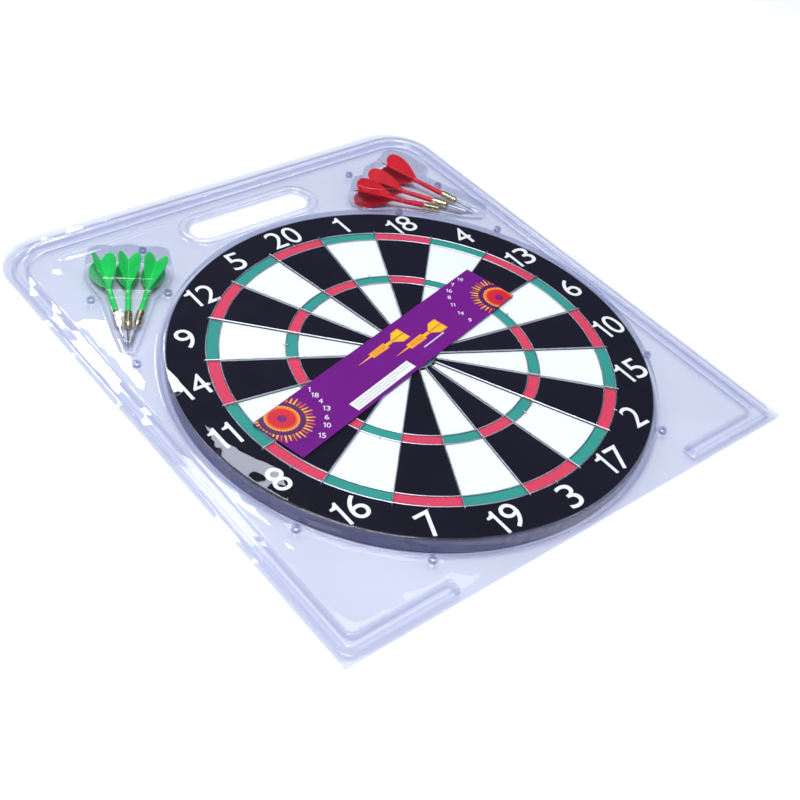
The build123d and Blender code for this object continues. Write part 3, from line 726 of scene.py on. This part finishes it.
    # painted shade: a dark ring round each stud, for the dark outline that refraction draws there
    for x, y in STUDS:
        d_ = np.hypot(v[:, 0] - x, v[:, 1] - y - BY)
        stud_ring_shade = np.clip(1.0 - np.abs(d_ - (3.35 if front else 2.45)) / 0.55, 0, 1)
        bend_shade = np.where(d_ < 4.3, stud_ring_shade, bend_shade)
    at = o.data.attributes.new("bend_shade", "FLOAT", "POINT")
    at.data.foreach_set("value", np.concatenate([bend_shade, bend_shade]).astype(np.float32))
    rim = set()
    for k_, cnt in seen.items():
        if cnt == 1:
            rim.add(k_)
            rim.add((k_[0] + n, k_[1] + n))
    for e in o.data.edges:
        a_, b_ = sorted(e.vertices)
        if (a_, b_) in rim:
            e.use_edge_sharp = True
    used = np.zeros(2 * n, bool)
    for f in faces:
        for i in f:
            used[i] = True
    if not used.all():
        import bmesh
        bm = bmesh.new()
        bm.from_mesh(o.data)
        bmesh.ops.delete(bm, geom=[q for q in bm.verts if not q.link_faces], context="VERTS")
        bm.to_mesh(o.data)
        bm.free()
    return o


cover_sheet = sheet_piece("cover_sheet", True, M_CLEAR, 0.55)
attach(cover_sheet, "cover")
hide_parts(*COVER_NODES)
tray_sheet = sheet_piece("tray_sheet", False, M_CLEAR_BACK, 0.58)
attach(tray_sheet, "tray")
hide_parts(*TRAY_NODES)

# the fold itself, a soft half-round roll that joins the two sheets
vs, fs = [], []
xs = np.linspace(-W2, W2, 147)
prof = []
for k in range(9):
    a = -math.pi / 2 - math.pi * k / 8
    prof.append((-240.4 + 0.58 * math.cos(a), 4.66 + 0.62 * math.sin(a)))
for k in range(9):
    a = math.pi / 2 + math.pi * k / 8
    prof.append((-240.4 + 0.12 * math.cos(a), 4.66 + 0.10 * math.sin(a)))
for x in xs:
    dz = 0.0
    for y, z in prof:
        vs.append((x, y, z + dz))
m_ = len(prof)
for i in range(len(xs) - 1):
    for k in range(m_):
        a, b = i * m_ + k, i * m_ + (k + 1) % m_
        fs.append((a, b, b + m_, a + m_))
fs.append(tuple(reversed(range(m_))))
fs.append(tuple(range((len(xs) - 1) * m_, len(xs) * m_)))
fold = link("fold_strip", vs, fs, M_CLEAR)
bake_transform(fold)

# =====================================================================
# numbers round the board
# =====================================================================
ORDER = [20, 1, 18, 4, 13, 6, 10, 15, 2, 17, 3, 19, 7, 16, 8, 11, 14, 9, 12, 5]


def one_figure(ch):
    """One flat figure, unit height, left edge at 0 and foot at 0: (points, faces)."""
    if ch == "1":
        v = np.array([(0.235, 0.0), (0.355, 0.0), (0.355, 1.0), (0.262, 1.0), (0.225, 0.915), (0.150, 0.855),
                      (0.030, 0.825), (0.030, 0.735), (0.235, 0.735)])
        return v, [(0, 1, 2, 3, 8), (3, 4, 5, 8), (5, 6, 7, 8)]
    cu = bpy.data.curves.new("figure", "FONT")
    cu.body = ch
    cu.resolution_u = 8
    o = bpy.data.objects.new("figure", cu)
    scene.collection.objects.link(o)
    bpy.context.view_layer.update()
    me = bpy.data.meshes.new_from_object(o.evaluated_get(bpy.context.evaluated_depsgraph_get()))
    v = np.array([tuple(q.co) for q in me.vertices], float)[:, :2]
    f = [tuple(p.vertices) for p in me.polygons]
    bpy.data.objects.remove(o)
    bpy.data.curves.remove(cu)
    bpy.data.meshes.remove(me)
    h = v[:, 1].max() - v[:, 1].min()
    v = (v - v.min(0)) / h
    v[:, 0] *= 0.615 / v[:, 0].max()
    return v, f


FIGURES = {ch: one_figure(ch) for ch in "0123456789"}


def figures(text):
    """Flat figures as (points centred on the origin, faces), unit height."""
    verts, faces, x = [], [], 0.0
    for ch in text:
        v, f = FIGURES[ch]
        base = len(verts)
        verts += [(q[0] + x, q[1]) for q in v]
        faces += [tuple(base + i for i in t) for t in f]
        x += (0.43 if ch == "1" else 0.615) + 0.10
    v = np.array(verts)
    return v - (v.max(0) + v.min(0)) / 2, faces


def slab(parts, z0, z1):
    """Closed slabs from flat pieces: [(xy points, faces)], with side walls."""
    verts, faces, mats = [], [], []
    for xy, fs, mi in parts:
        n, base = len(xy), len(verts)
        for q in xy:
            verts.append((q[0], q[1], z1))
        for q in xy:
            verts.append((q[0], q[1], z0))
        count = {}
        for f in fs:
            a = np.array([xy[i] for i in f])
            if area(a) < 0:
                f = tuple(reversed(f))
            faces.append(tuple(base + i for i in f))
            faces.append(tuple(base + n + i for i in reversed(f)))
            mats += [mi, mi]
            for i in range(len(f)):
                e = (f[i], f[(i + 1) % len(f)])
                k = (min(e), max(e))
                count.setdefault(k, []).append(e)
        for k, es in count.items():
            if len(es) == 1:
                p, q = es[0]
                faces.append((base + q, base + p, base + n + p, base + n + q))
                mats.append(mi)
    return verts, faces, mats


parts = []
for i, num in enumerate(ORDER):
    a = math.radians(90 - 18 * i)
    xy, fs = figures(str(num))
    r = 175.0
    xy = xy * np.array([22.4, 22.4])
    xy = xy + np.array([r * math.cos(a), r * math.sin(a) + BY])
    parts.append((xy, fs, 0))
vs, fs, _ = slab(parts, 12.705, 12.77)
numbers = link("face_numbers", vs, fs, M_INK, smooth=False)
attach(numbers, "board")

# =====================================================================
# card printing
# =====================================================================
CARD_TURN = math.radians(13.5)
CARD_C = np.array([-15.9, 6.4])
CARD_TOP = 15.45


def card_xy(s, t):
    c, k = math.cos(CARD_TURN), math.sin(CARD_TURN)
    return (CARD_C[0] + s * c - t * k, CARD_C[1] + s * k + t * c + BY)


def clip_rect(poly, x0, x1, y0, y1):
    def cut(pts, inside, cross):
        out = []
        for i in range(len(pts)):
            a, b = pts[i - 1], pts[i]
            if inside(b):
                if not inside(a):
                    out.append(cross(a, b))
                out.append(b)
            elif inside(a):
                out.append(cross(a, b))
        return out

    def at(axis, v):
        def f(a, b):
            t = (v - a[axis]) / (b[axis] - a[axis])
            return (a[0] + t * (b[0] - a[0]), a[1] + t * (b[1] - a[1]))
        return f
    for ins, cr in ((lambda q: q[0] >= x0, at(0, x0)), (lambda q: q[0] <= x1, at(0, x1)),
                    (lambda q: q[1] >= y0, at(1, y0)), (lambda q: q[1] <= y1, at(1, y1))):
        if len(poly) < 3:
            return []
        poly = cut(poly, ins, cr)
    return poly


def card_shapes(shapes, z0, z1, name, mats):
    """shapes: (convex outline in card coordinates, material index)."""
    parts = []
    for poly, mi in shapes:
        q = clip_rect([tuple(p) for p in poly], -134.6, 134.6, -23.6, 23.6)
        if len(q) < 3:
            continue
        xy = np.array([card_xy(*p) for p in q])
        if abs(area(xy)) < 0.02:
            continue
        parts.append((xy, [tuple(range(len(q)))], mi))
    vs, fs, ms = slab(parts, z0, z1)
    o = link(name, vs, fs, mats, smooth=False, face_mats=ms)
    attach(o, "card")
    return o


def ring_cells(cx, cy, r0, r1, n, a0=0.0, a1=2 * math.pi):
    out = []
    for i in range(n):
        t0, t1 = a0 + (a1 - a0) * i / n, a0 + (a1 - a0) * (i + 1) / n
        out.append([(cx + r0 * math.cos(t0), cy + r0 * math.sin(t0)),
                    (cx + r1 * math.cos(t0), cy + r1 * math.sin(t0)),
                    (cx + r1 * math.cos(t1), cy + r1 * math.sin(t1)),
                    (cx + r0 * math.cos(t1), cy + r0 * math.sin(t1))])
    return out


def target(cx, cy):
    base = []
    rays = 40
    for i in range(rays):
        t = 2 * math.pi * (i + 0.5) / rays
        w = 0.046
        tip = 24.6 if i % 2 else 23.4
        base.append(([(cx + 17.5 * math.cos(t - w), cy + 17.5 * math.sin(t - w)),
                      (cx + tip * math.cos(t - w * 0.3), cy + tip * math.sin(t - w * 0.3)),
                      (cx + tip * math.cos(t + w * 0.3), cy + tip * math.sin(t + w * 0.3)),
                      (cx + 17.5 * math.cos(t + w), cy + 17.5 * math.sin(t + w))], 0 if i % 3 else 1))
    for i in range(rays):
        t = 2 * math.pi * i / rays
        w = 0.032
        base.append(([(cx + 17.5 * math.cos(t - w), cy + 17.5 * math.sin(t - w)),
                      (cx + 23.6 * math.cos(t - w * 0.4), cy + 23.6 * math.sin(t - w * 0.4)),
                      (cx + 23.6 * math.cos(t + w * 0.4), cy + 23.6 * math.sin(t + w * 0.4)),
                      (cx + 17.5 * math.cos(t + w), cy + 17.5 * math.sin(t + w))], 6))
    for q in ring_cells(cx, cy, 13.3, 17.5, 60):
        base.append((q, 3))
    for i, q in enumerate(ring_cells(cx, cy, 11.4, 13.3, 72)):
        base.append((q, i % 2))
    for q in ring_cells(cx, cy, 10.2, 11.4, 60):
        base.append((q, 1))
    for q in ring_cells(cx, cy, 3.6, 10.2, 60):
        base.append((q, 2))
    for q in ring_cells(cx, cy, 0.2, 3.6, 24):
        base.append((q, 7))
    base.append(([(cx + 0.2 * math.cos(a), cy + 0.2 * math.sin(a)) for a in np.linspace(0, 2 * math.pi, 13)[:-1]], 7))
    return base


INKS = [M_YELLOW, M_ORANGE, M_CARDRED, M_PURPLE, M_CARDWHITE, M_CARDGREY, M_DARKRED, M_VIOLET]
shapes = []
for cx, cy in ((-116.0, 12.6), (123.0, -17.0)):
    shapes += target(cx, cy)
card_shapes(shapes, CARD_TOP, CARD_TOP + 0.04, "card_targets", INKS)


def dart_icon(cx, cy, length, tilt, ink, grow):
    """A small side view of a dart, pointing left and down."""
    out = []
    g = grow
    k = length / 56.0

    def put(pts, mi=ink):
        c, s_ = math.cos(tilt), math.sin(tilt)
        out.append(([(cx + k * (x * c - y * s_), cy + k * (x * s_ + y * c)) for x, y in pts], mi))
    put([(-28.5 - g, 0), (-12, -0.55 - g), (-12, 0.55 + g)])
    put([(-12 - g, -2.4 - g), (6 + g, -2.9 - g), (6 + g, 2.9 + g), (-12 - g, 2.4 + g)])
    put([(6, -1.3 - g), (13, -1.0 - g), (13, 1.0 + g), (6, 1.3 + g)])
    put([(12 - g, 0.35 - g), (28 + g, 0.35 - g), (28 + g, 6.2 + g), (20, 6.2 + g)])
    put([(12 - g, -0.35 + g), (20, -6.2 - g), (28 + g, -6.2 - g), (28 + g, -0.35 + g)])
    return out


icons = dart_icon(-2.0, 10.4, 57.0, 0.0, 1, 0.55) + dart_icon(29.0, -3.2, 59.0, 0.0, 1, 0.55)
card_shapes(icons, CARD_TOP, CARD_TOP + 0.035, "card_mark_edge", INKS)
icons = dart_icon(-2.0, 10.4, 57.0, 0.0, 0, 0.0) + dart_icon(29.0, -3.2, 59.0, 0.0, 0, 0.0)
card_shapes(icons, CARD_TOP + 0.04, CARD_TOP + 0.075, "card_mark", INKS)
grip = []
for cx, cy in ((-2.0, 10.4), (29.0, -3.2)):
    for i in range(6):
        x = cx - 10.0 + 2.7 * i
        grip.append(([(x, cy - 2.1), (x + 0.9, cy - 2.1), (x + 1.5, cy + 2.1), (x + 0.6, cy + 2.1)], 2))
card_shapes(grip, CARD_TOP + 0.08, CARD_TOP + 0.1, "card_mark_grip", INKS)

# a pale panel with three rows of fine dashes, and a row of small dashes
card_shapes([([(-69.0, -21.0), (1.4, -21.0), (1.4, -11.8), (-69.0, -11.8)], 4)],
            CARD_TOP, CARD_TOP + 0.035, "card_panel", INKS)
dashes = []
for row, y in enumerate((-14.2, -16.5, -18.8)):
    x = -66.6
    k = row * 5
    while x < (-1.6 if row < 2 else -22.0):
        w = 1.1 + 0.9 * ((k * 7) % 5) / 4.0
        dashes.append(([(x, y - 0.32), (x + w, y - 0.32), (x + w, y + 0.32), (x, y + 0.32)], 5))
        x += w + 0.55
        k += 1
x, k = 25.0, 0
while x < 50.0:
    w = 0.9 + 0.5 * ((k * 3) % 4) / 3.0
    dashes.append(([(x, -12.3), (x + w, -12.3), (x + w, -11.1), (x, -11.1)], 4))
    x += w + 0.5
    k += 1
card_shapes(dashes, CARD_TOP + 0.04, CARD_TOP + 0.06, "card_dashes", INKS)

dial = [("1", -77.9, 19.2), ("18", -79.6, 12.2), ("4", -81.4, 5.2), ("13", -84.2, -2.8), ("6", -91.4, -9.1),
        ("10", -97.7, -14.5), ("15", -108.3, -18.8), ("19", 118.3, 19.6), ("7", 107.8, 19.8), ("16", 98.7, 17.2),
        ("8", 91.6, 11.9), ("11", 85.7, 4.0), ("14", 81.7, -6.8), ("9", 79.9, -17.3)]
parts = []
lean = math.radians(-38.0)
for text, s_, t_ in dial:
    xy, fs = figures(text)
    h = 5.0 if s_ < 0 else 4.4
    c, k = math.cos(lean), math.sin(lean)
    xy = np.array([(h * (q[0] * c - q[1] * k), h * (q[0] * k + q[1] * c)) for q in xy])
    parts.append((xy + np.array(card_xy(s_, t_)), fs, 0))
vs, fs, _ = slab(parts, CARD_TOP + 0.005, CARD_TOP + 0.045)
o = link("card_dial_numbers", vs, fs, M_CARDWHITE, smooth=False)
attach(o, "card")

# =====================================================================
# floor, lights, camera
# =====================================================================
n = Nodes("floor")
df = n.add("ShaderNodeBsdfDiffuse")
fn = n.noise(3.0, 3.0, 0.5)
n.wire(n.ramp(fn.outputs["Fac"], [(0.3, (0.935, 0.935, 0.93)), (0.7, (0.95, 0.95, 0.945))]), df.inputs["Color"])
n.wire(df.outputs["BSDF"], n.out.inputs["Surface"])
fl = link("floor", [(-9000, -9000, -0.05), (9000, -9000, -0.05), (9000, 9000, -0.05), (-9000, 9000, -0.05)],
          [(0, 1, 2, 3)], n.m, smooth=False)

world = bpy.data.worlds.new("studio")
scene.world = world
world.use_nodes = True
bg = world.node_tree.nodes["Background"]
bg.inputs["Color"].default_value = (0.42, 0.45, 0.80, 1.0)
bg.inputs["Strength"].default_value = 0.12


def softbox(name, loc, aim, size_x, size_y, power, colour=(1, 1, 1)):
    li = bpy.data.lights.new(name, "AREA")
    li.shape = "RECTANGLE"
    li.size, li.size_y = size_x, size_y
    li.energy = power
    li.color = colour
    o = bpy.data.objects.new(name, li)
    o.location = loc
    o.rotation_mode = "QUATERNION"
    o.rotation_quaternion = (Vector(aim) - Vector(loc)).to_track_quat("-Z", "Y")
    scene.collection.objects.link(o)
    return o


softbox("overhead", (-0.45, -0.25, 2.25), (0.0, 0.0, 0.0), 1.15, 1.15, 47.0, (1.0, 0.995, 0.99))
softbox("ceiling", (0.1, 0.1, 2.6), (0.0, 0.0, 0.0), 2.8, 2.8, 26.0, (0.98, 0.99, 1.0))
softbox("window", (0.31, 1.09, 1.03), (-0.19, -0.03, 0.0), 0.15, 0.20, 1.7, (0.96, 0.97, 1.0))
softbox("glint", (0.398, 0.735, 1.115), (-0.16, -0.12, 0.015), 0.19, 0.16, 0.74, (0.86, 0.88, 1.0))
softbox("rim_right", (1.35, -1.25, 1.75), (0.0, 0.0, 0.0), 0.55, 0.55, 7.0, (1.0, 1.0, 1.0))
softbox("rim_back", (-1.35, 1.42, 1.95), (0.0, 0.0, 0.0), 0.55, 0.55, 7.0, (1.0, 1.0, 1.0))
softbox("left_fill", (-1.7, -0.6, 0.9), (0.0, -0.05, 0.0), 0.9, 0.9, 7.0, (0.95, 0.97, 1.0))

cam_data = bpy.data.cameras.new("camera")
cam_data.sensor_width = 36.0
cam_data.lens = 57.01
cam_data.clip_start, cam_data.clip_end = 0.02, 60.0
cam = bpy.data.objects.new("camera", cam_data)
scene.collection.objects.link(cam)
right = Vector((0.7676, -0.6256, 0.1395)).normalized()
forward = Vector((0.5400, 0.5141, -0.6664))
forward = (forward - right * forward.dot(right)).normalized()
up = right.cross(forward).normalized()
pos = Vector((CX - 0.5525, CY + 0.041 - 0.5614, 0.6422))
cam.matrix_world = Matrix((
    (right.x, up.x, -forward.x, pos.x),
    (right.y, up.y, -forward.y, pos.y),
    (right.z, up.z, -forward.z, pos.z),
    (0, 0, 0, 1)))
scene.camera = cam

scene.view_settings.view_transform = "Standard"
scene.view_settings.look = "None"
scene.cycles.transparent_max_bounces = 32
scene.cycles.max_bounces = 10
